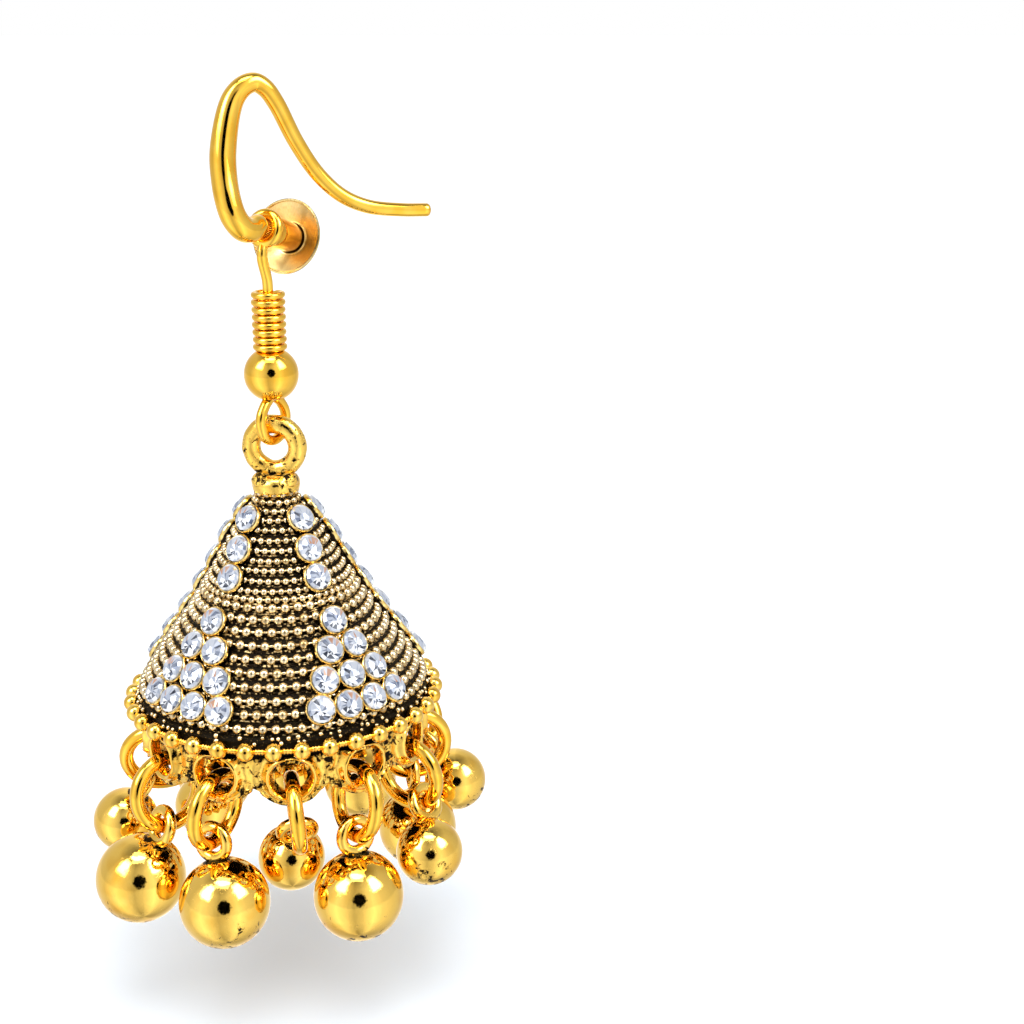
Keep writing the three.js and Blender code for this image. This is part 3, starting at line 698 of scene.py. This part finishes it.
def buildRim():
    ball = addBall("rimBall", dome["rimBead"], 20, 12)
    clearAll()
    bpy.ops.mesh.primitive_cylinder_add(vertices=12, radius=0.16 * mm, depth=1.3 * mm)
    bar = bpy.context.object
    rib = addRing("rib", 0.3, 0.16, 14, 6)
    ribs = [copyTo(rib, Matrix.Translation((0, 0, height * mm)), "rib") for height in (-0.22, 0, 0.22)]
    bar = weld("rimBar", [bar] + ribs)
    pieces, step, radius = [], 360 / dome["rimBeads"], dome["rimCircle"] / 2
    for index in range(dome["rimBeads"]):
        turn = dome["rimTurn"] + step * index
        pieces.append(copyTo(ball, aim(outward(turn), onDome(turn, radius, 0)), "rimBead"))
        turn += step / 2
        pieces.append(copyTo(bar, aim(around(turn), onDome(turn, radius - 0.1, 0)), "rimBar"))
    for piece in (ball, bar, rib):
        dropPiece(piece)
    rim = weld("rimBeads", pieces)
    mark(rim, "worn", lambda spot: 0.15)
    finishPiece(rim, bellGold, "antique_gold", "dome")


skirt = {
    "turn": 9.5, "lugs": 12, "radius": 10.55, "wall": 0.9, "top": -0.4, "edge": -3.4,
    "lobeRadius": 2.75, "lobeHeight": -2.0, "holeHeight": -2.45, "holeRadius": 1.4,
    # relief: how high it stands, how far off its middle is, how wide it is
    "holeRing": (0.5, 0.26, 0.28), "holeMoat": (-0.12, 0.85, 0.35), "edgeRing": (0.2, 0.12, 0.16),
    "topGroove": (-0.3, -0.25, 0.28),
}


def relief(distance, high, middle, wide):
    return high * math.exp(-((distance - middle) / wide) ** 2)


def skirtEdge(across):
    inside = skirt["lobeRadius"] ** 2 - across**2
    return min(skirt["edge"], skirt["lobeHeight"] - math.sqrt(max(inside, 0)))


def skirtReach(angle, half):  # from the hole's middle to the sector's edge
    c, s = math.cos(angle), math.sin(angle)
    reach = half / abs(c) if abs(c) > 1e-6 else 99
    if s > 1e-6:
        reach = min(reach, (skirt["top"] - skirt["holeHeight"]) / s)
    step = 1.0
    while step < reach and skirt["holeHeight"] + step * s > skirtEdge(step * c):
        step += 0.004
    return min(step, reach)


def buildSkirt():
    half = math.radians(180 / skirt["lugs"]) * skirt["radius"]
    upper = math.atan2(skirt["top"] - skirt["holeHeight"], half)
    lower = math.atan2(skirt["edge"] - skirt["holeHeight"], half)
    angles = []
    for start, end, parts in ((lower, upper, 8), (upper, math.pi - upper, 14),
                              (math.pi - upper, math.pi - lower, 8), (math.pi - lower, math.tau + lower, 30)):
        angles += [start + (end - start) * part / parts for part in range(parts)]
    shares = [0, 0.07, 0.15, 0.25, 0.36, 0.48, 0.6, 0.7, 0.79, 0.87, 0.94, 1]
    clearAll()
    bpy.ops.mesh.primitive_grid_add(x_subdivisions=len(angles), y_subdivisions=len(shares) - 1, size=1)
    sector = bpy.context.object
    for vertex in sector.data.vertices:
        column = round((vertex.co.x + 0.5) * len(angles)) % len(angles)
        row = round((vertex.co.y + 0.5) * (len(shares) - 1))
        angle = angles[column]
        reach = skirtReach(angle, half)
        away = skirt["holeRadius"] + (reach - skirt["holeRadius"]) * shares[row]
        vertex.co = (math.cos(angle) * away, skirt["holeHeight"] + math.sin(angle) * away, 0)
    pick(sector)
    editAll(mergeClose)
    pieces = []
    for index in range(skirt["lugs"]):
        lug = copyTo(sector, Matrix.Identity(4), "lug")
        for vertex in lug.data.vertices:
            across, height = vertex.co.x, vertex.co.y
            turn = skirt["turn"] + 30 * index + math.degrees(across / skirt["radius"])
            hole = math.hypot(across, height - skirt["holeHeight"]) - skirt["holeRadius"]
            edge = height - skirtEdge(across)
            side = half - abs(across)
            raised = relief(hole, *skirt["holeRing"]) + relief(hole, *skirt["holeMoat"])
            if abs(across) < skirt["lobeRadius"] - 0.2:
                raised += relief(edge, *skirt["edgeRing"])
            if hole > 0.3:
                raised += relief(height - skirt["top"], *skirt["topGroove"])
            spot = outward(turn) * 10 + Vector((0, 0, height))  # where the hammering is read
            fade = min(1, side / 0.4, max(0, hole) / 0.3)
            raised += fade * 0.1 * noise.noise(spot * 1.9) + fade * 0.1 * noise.noise(spot * 4.2)
            vertex.co = onDome(turn, skirt["radius"] + raised, height) * mm
        pieces.append(lug)
    dropPiece(sector)
    band = weld("skirt", pieces)
    pick(band)
    editAll(lambda: bpy.ops.mesh.remove_doubles(threshold=2e-5), faceOut)
    wall = band.modifiers.new("wall", "SOLIDIFY")
    wall.thickness, wall.offset = skirt["wall"] * mm, -1
    bpy.ops.object.modifier_apply(modifier=wall.name)
    rounding = band.modifiers.new("rounding", "SUBSURF")
    rounding.levels = rounding.render_levels = 1
    bpy.ops.object.modifier_apply(modifier=rounding.name)

    def wear(spot):
        turn = math.degrees(math.atan2(spot.x, -spot.y)) - skirt["turn"]
        across = ((turn + 15) % 30 - 15) * math.radians(1) * skirt["radius"]
        hole = math.hypot(across, spot.z - dome["rim"] - skirt["holeHeight"]) - skirt["holeRadius"]
        if spot.z > dome["rim"] - 1.0 and hole > 0.3:  # the dark groove under the rim beads
            return 1
        if hole < 0.04:  # inside the holes
            return 0.52
        return max(0.0, min(0.5, (hole - 0.35) / 1.0)) if spot.xy.length > 10.35 else 0.4
    mark(band, "worn", wear)
    finishPiece(band, castGold, "antique_gold", "dome")


def buildTop():
    axis = Vector((math.sin(math.radians(dome["ringTurn"])), math.cos(math.radians(dome["ringTurn"])), 0))
    ring = addRing("castRing", dome["ringAcross"], dome["ringWire"], 72, 28)
    for vertex in ring.data.vertices:
        spot = vertex.co / mm
        core = spot.xy.normalized() * dome["ringAcross"] / 2
        away = spot - Vector((*core, 0))
        vertex.co = (spot + away * (0.05 * noise.noise(spot * 1.4) + 0.03 * noise.noise(spot * 3.7))) * mm
    place(ring, aim(axis, (0, 0, dome["ringHeight"])))
    knob = spinProfile("knob", [(0, -0.84), (1.35, -0.84), (1.58, -0.7), (1.74, -0.42), (1.8, -0.05),
                                (1.76, 0.25), (1.6, 0.52), (1.25, 0.72), (0.7, 0.84), (0, 0.86)], 56)
    pieces = [ring, lift(knob, dome["knobHeight"])]
    for hand in (-1, 1):  # the two shoulders where the ring runs into the knob
        cheek = addBall("cheek", 1.7, 28, 18)
        spot = Vector((hand * 0.98, -0.55, dome["knobHeight"] + 0.32)) * mm
        pieces.append(place(cheek, Matrix.Translation(spot) @ Matrix.Diagonal((0.9, 1.1, 0.75, 1))))
    top = weld("castTop", pieces)
    mark(top, "worn", lambda spot: 0.3 + 0.25 * math.exp(-((spot.z - dome["knobHeight"] - 0.8) / 0.35) ** 2))
    finishPiece(top, castGold, "antique_gold", "dome")


buildDomeShell()
buildRows()
print("rows made")
buildRim()
buildSkirt()
buildTop()
print("dome made")


# stones in cups
# painted light, shade, reflections and peach glints for the cut stones' facets
paintedFacetTones = {
    "white": (0.86, 0.88, 0.92), "ice": (0.36, 0.4, 0.49), "pale": (0.5, 0.53, 0.6),
    "steel": (0.12, 0.15, 0.23), "ink": (0.008, 0.014, 0.035), "peachGlint": (0.5, 0.25, 0.14),
}


def pickPaintedFacetLight(ring, turn, dice):  # painted light, shade and reflections on each facet, by its place in the stone
    turn %= 360
    if ring > 1:  # the bevel and the girdle
        if turn > 335 or turn < 100:
            return dice.choice(("white", "white", "pale"))
        if turn < 205:
            return dice.choice(("steel", "ice", "pale", "ice"))
        return dice.choice(("white", "white", "ink", "pale"))
    if ring == 1:
        if 20 < turn < 95:
            return dice.choice(("peachGlint", "pale", "ice"))
        if turn < 100 or turn > 320:
            return dice.choice(("ice", "pale"))
        if turn < 190:
            return dice.choice(("steel", "ice", "pale", "ink"))
        return dice.choice(("white", "ink", "white", "steel", "white", "ink"))
    if turn > 190:
        return dice.choice(("white", "white", "ice", "ink"))
    return dice.choice(("ice", "pale", "ice", "steel"))


def cutGem(seed):  # facets run from a low point of the table to the girdle
    dice = random.Random(seed)
    radius, sides = stones["glassRadius"], stones["facets"]
    heart = (stones["heart"][0] + dice.uniform(-0.08, 0.08), stones["heart"][1] + dice.uniform(-0.06, 0.06))
    spots = [(heart[0] * mm, heart[1] * mm, stones["heart"][2] * mm)]
    for reach, height, lean in stones["rings"]:
        for step in range(sides):
            turn = math.radians(360 * step / sides + dice.uniform(-5, 5) * (reach < 1))
            spots.append(((heart[0] * lean + radius * reach * math.cos(turn)) * mm,
                          (heart[1] * lean + radius * reach * math.sin(turn)) * mm,
                          (height + dice.uniform(-0.02, 0.02)) * mm))
    faces, shades = [], []
    for step in range(sides):
        after = (step + 1) % sides
        turn = 360 / sides * (step + 0.5)
        faces.append((0, 1 + step, 1 + after))
        shades.append(paintedFacetTones[pickPaintedFacetLight(0, turn, dice)])
        for ring in range(1, len(stones["rings"])):
            low, high = 1 + sides * (ring - 1), 1 + sides * ring
            faces += [(low + step, high + step, high + after), (low + step, high + after, low + after)]
            shades += [paintedFacetTones[pickPaintedFacetLight(ring, turn - 4, dice)], paintedFacetTones[pickPaintedFacetLight(ring, turn + 4, dice)]]
    mesh = bpy.data.meshes.new("gem")
    mesh.from_pydata(spots, [], faces)
    paintedFacetColor = mesh.attributes.new("paintedFacetLight", "FLOAT_COLOR", "FACE")
    for index, shade in enumerate(shades):
        paintedFacetColor.data[index].color = (*shade, 1)
    gem = bpy.data.objects.new("gem", mesh)
    bpy.context.collection.objects.link(gem)
    mesh.materials.append(cutStone)
    pick(gem)
    editAll(faceOut)
    return gem


def buildStones():
    rim = stones["cupRadius"]
    cup = spinProfile("cup", [(0, -0.3), (rim * 0.97, -0.3), (rim, -0.1), (rim + 0.01, 0.15),
                              (rim - 0.01, 0.27), (rim - 0.05, 0.31), (rim - 0.11, 0.28),
                              (rim - 0.14, 0.18), (0, 0.1)], 28)
    mark(cup, "worn", lambda spot: min(1, max(0, (0.16 - spot.z) / 0.14)))
    pick(cup)
    bpy.ops.object.shade_smooth_by_angle(angle=math.radians(55))
    cup.data.materials.append(cupGold)
    gems = [cutGem(seed) for seed in range(stones["cuts"])]
    count = 0
    for node, spots in stoneFields().items():
        pieces = []
        for spot in spots:
            foot, normal = stoneFoot(*spot)
            matrix = aim(normal, foot, around(spot[1]))
            pieces.append(copyTo(cup, matrix, "cup"))
            if node.endswith("left"):  # the light falls the other way round on this side
                matrix = matrix @ Matrix.Diagonal((-1, 1, 1, 1))
            pieces.append(copyTo(gems[count % len(gems)], matrix, "gem"))
            count += 1
        words = node.split("_")
        field = weld("stones" + "".join(word.capitalize() for word in words[1:]), pieces)
        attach(field, "dome")
        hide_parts(node)
    for piece in [cup] + gems:
        dropPiece(piece)


buildStones()
print("stones made")


# jump rings and bells
bells = {
    "ring": 5.1, "ringWire": 1.1, "play": 0.17, "large": 6.65, "medium": 6.1, "small": 5.0, "loop": 2.36,
    "loopWire": 0.85, "sink": 0.35, "loopPlay": 0.03,
    "hang": [  # size, ring out, ring round, ring turn, bell out, bell round
        ("small", 1, 4, -2, -32, -7), ("large", 13, -10, 0, 8, -4), ("small", 10, 2, 13, 24, -35),
        ("medium", -12, 3, -4, 1, -34), ("small", 17, -32, 0, 26, -29), ("medium", 0, -7, 0, 1, -6),
        ("medium", 2, -1, 0, 13, -1), ("medium", 5, 1, 0, 13, 1), ("small", -5, -3, 0, -19, -2),
        ("small", -14, -14, 5, 28, -2), ("large", 28, 8, 1, 19, -14), ("large", 19, -6, 4, 7, 13)],
}


def hangWay(degrees, out, side):
    out, side = math.radians(out), math.radians(side)
    return (Vector((0, 0, -math.cos(out) * math.cos(side)))
            + outward(degrees) * math.sin(out) * math.cos(side) + around(degrees) * math.sin(side))


def hangReach(out, lip):
    inner = (bells["ring"] * math.cos(math.pi / 10) - bells["ringWire"]) / 2 - bells["play"]
    corner = max(lip, skirt["wall"]) / 2
    lean = corner * (abs(math.sin(math.radians(out))) + math.cos(math.radians(out)))
    return math.sqrt(lean**2 - 2 * corner**2 + inner**2) - lean


def buildBells():
    lip = skirt["lobeRadius"] - skirt["lobeHeight"] + skirt["holeHeight"] - skirt["holeRadius"]
    for index, (size, out, side, twist, bellOut, bellSide) in enumerate(bells["hang"]):
        turn = skirt["turn"] + 30 * index
        spot = onDome(turn, skirt["radius"] - skirt["wall"] / 2, skirt["holeHeight"])
        spot += hangWay(turn, 0, side) * (skirt["holeRadius"] + lip / 2)
        ringDown = hangWay(turn, out, side)
        middle = spot + ringDown * hangReach(out, lip)
        axis = (around(turn) - ringDown * around(turn).dot(ringDown)).normalized()
        axis = Matrix.Rotation(math.radians(twist), 3, ringDown) @ axis
        ring = addRing("jumpRing%d" % (index + 1), bells["ring"], bells["ringWire"], 56, 20)
        place(ring, aim(axis, middle))
        finishPiece(ring, wireGold, "polished_gold", "dome", "jump_ring_%d" % (index + 1))

        bellDown = hangWay(turn, bellOut, bellSide)
        across = (bellDown - axis * bellDown.dot(axis)).normalized()
        loopMiddle = middle + across * bells["ring"] / 2 + bellDown * bells["loopPlay"]
        along = axis.cross(across)
        along = (along - bellDown * along.dot(bellDown)).normalized()
        radius = bells[size] / 2
        reach = (bells["loop"] + bells["loopWire"]) / 2 + radius - bells["sink"]
        ball = addBall("bell", bells[size], 48, 30)
        seam = math.sqrt(1 - (0.7 / radius) ** 2)  # where the loop is soldered on
        mark(ball, "worn", lambda spot: 0.72 * max(0.0, 1 - (spot.z / radius + 1) / 0.95)
             + 1.3 * max(0.0, 1 - abs(spot.z / radius - seam) / 0.05))
        place(ball, aim(-bellDown, loopMiddle + bellDown * reach))
        loop = addRing("loop", bells["loop"], bells["loopWire"], 40, 16)
        mark(loop, "worn", lambda spot: 0.2 + 0.6 * max(0.0, (-spot.y - 1.0) / 0.4))
        place(loop, aim(along, loopMiddle))
        bell = weld("bell%d" % (index + 1), [ball, loop])
        finishPiece(bell, bellGold, "antique_gold", "dome", "bell_%d" % (index + 1))


buildBells()
print("bells made")


# studio
studio = {
    "floor": -67.0, "floorSize": 24, "floorBack": 8, "paper": (0.83, 0.9, 0.985, 1),
    "camera": (17.55, -115.0, 4.13), "pitch": 16.7, "lens": 56.43, "towardsCamera": 0.15,
    # lamps: place in metres, size, power
    "lamps": {"softLeft": ((-0.3, -0.2, 0.26), 0.2, 0.25), "softRight": ((0.34, -0.2, 0.26), 0.2, 0.25),
              "softTop": ((0.0, -0.1, 0.4), 0.25, 0.45)}, "lampAim": (0, 0, -0.035),
    # brightness round the object, by turn away from the camera's side in radians (minus is the viewer's left)
    "roundabout": [(-3.14, 1.1), (-2.6, 0.75), (-1.7, 0.7), (-1.05, 1.3), (-0.6, 0.92), (-0.25, 0.55),
                   (0.1, 0.75), (0.6, 1.35), (1.0, 0.95), (1.5, 0.75), (2.2, 0.6), (2.8, 0.8), (3.14, 1.1)],
    # how it changes upward and downward: from rise, to rise, share left there
    "riseShares": [(0.75, 1.35, 0.3), (-0.06, -0.14, 1.22), (-0.8, -1.5, 0.55)],
    "boxTurn": 1.02, "boxRise": 0.76, "boxHalf": 0.28, "boxSoft": 0.08, "boxGlow": 9.0, "roomGlow": 1.24,
    "darkHalf": 0.31, "darkRise": 0.27,
}


def addPanel(tree, across, middle):  # 1 on a soft box, fading at its edges
    away = combine(tree, "ABSOLUTE", combine(tree, "SUBTRACT", across, middle))
    half, soft = studio["boxHalf"], studio["boxSoft"]
    return mapRange(tree, away, half - soft, half + soft, 1.0, 0.0)


def buildWorld():
    world = bpy.data.worlds.new("studioWorld")
    bpy.context.scene.world = world
    world.use_nodes = True
    tree = world.node_tree
    way = addNode(tree, "ShaderNodeTexCoord").outputs["Generated"]
    parts = addNode(tree, "ShaderNodeSeparateXYZ", {0: way}).outputs
    turn = combine(tree, "ARCTAN2", parts["X"], combine(tree, "MULTIPLY", parts["Y"], -1.0))
    turn = combine(tree, "SUBTRACT", turn, studio["towardsCamera"])
    rise = combine(tree, "ARCSINE", parts["Z"])
    ramp = addNode(tree, "ShaderNodeValToRGB", {0: mapRange(tree, turn, -math.pi, math.pi)})
    stops = ramp.color_ramp.elements
    for index, (spot, glow) in enumerate(studio["roundabout"]):
        stop = stops[index] if index < 2 else stops.new(spot)
        stop.position = 0.5 + spot / math.tau
        stop.color = (glow / 2, glow / 2, glow / 2, 1)
    wall = combine(tree, "MULTIPLY", ramp.outputs[0], 2.0)
    for start, end, share in studio["riseShares"]:
        wall = combine(tree, "MULTIPLY", wall, mapRange(tree, rise, start, end, 1.0, share))
    # the dark, ragged round spot on the camera's side
    across = combine(tree, "DIVIDE", turn, studio["darkHalf"])
    upward = combine(tree, "DIVIDE", combine(tree, "SUBTRACT", rise, studio["darkRise"]), studio["darkHalf"])
    reach = combine(tree, "ADD", combine(tree, "MULTIPLY", across, across),
                    combine(tree, "MULTIPLY", upward, upward))
    ragged = mapRange(tree, addNoise(tree, 7.0, 3.0, way), 0.3, 0.7, -0.3, 0.3)
    dark = mapRange(tree, combine(tree, "ADD", reach, ragged), 0.7, 1.1, 1.0, 0.0)
    wall = combine(tree, "MULTIPLY", wall, combine(tree, "SUBTRACT", 1.0, dark))
    # two soft boxes at the sides and a lid above
    boxes = combine(tree, "MULTIPLY", addPanel(tree, combine(tree, "ABSOLUTE", turn), studio["boxTurn"]),
                    addPanel(tree, rise, studio["boxRise"]))
    lid = combine(tree, "MULTIPLY", mapRange(tree, parts["Z"], 0.93, 0.96),
                  mapRange(tree, parts["Y"], -0.1, -0.16))
    boxes = combine(tree, "MULTIPLY", combine(tree, "MAXIMUM", boxes, lid), studio["boxGlow"])
    # reflections show this studio, the camera sees white, and everything else gets the room's even light
    ray = addNode(tree, "ShaderNodeLightPath").outputs
    glow, reflected = studio["roomGlow"], combine(tree, "ADD", wall, boxes)
    for share, seen in ((ray["Is Glossy Ray"], reflected), (ray["Is Camera Ray"], 1.0)):
        glow = addNode(tree, "ShaderNodeMix", {"data_type": "FLOAT", 0: share, 2: glow, 3: seen}).outputs[0]
    sky = tree.nodes["Background"]
    feed(tree, sky.inputs["Strength"], glow)
    feed(tree, sky.inputs["Color"], (1, 1, 1, 1))


def buildStudio():
    clearAll()
    spot = (0, studio["floorBack"], studio["floor"] * mm)
    bpy.ops.mesh.primitive_plane_add(size=studio["floorSize"], location=spot)
    floor = bpy.context.object
    floor.name = "floor"
    paper, _ = newFinish("paper")
    dress(paper, {"Base Color": studio["paper"], "Roughness": 0.9, "Metallic": 0.0, "Specular IOR Level": 0.0})
    floor.data.materials.append(paper)
    floor.visible_glossy = False
    for name, (spot, size, power) in studio["lamps"].items():
        bpy.ops.object.light_add(type="AREA", location=spot)
        lamp = bpy.context.object
        lamp.name = name
        lamp.data.energy, lamp.data.size = power, size
        lamp.rotation_euler = (Vector(studio["lampAim"]) - Vector(spot)).to_track_quat("-Z", "Y").to_euler()
    bpy.ops.object.camera_add(location=Vector(studio["camera"]) * mm,
                              rotation=(math.radians(90 - studio["pitch"]), 0, 0))
    camera = bpy.context.object
    camera.data.lens, camera.data.sensor_width = studio["lens"], 36
    camera.data.clip_start, camera.data.clip_end = 0.005, 50
    bpy.context.scene.camera = camera
    bpy.context.scene.view_settings.view_transform = "Standard"


buildWorld()
buildStudio()
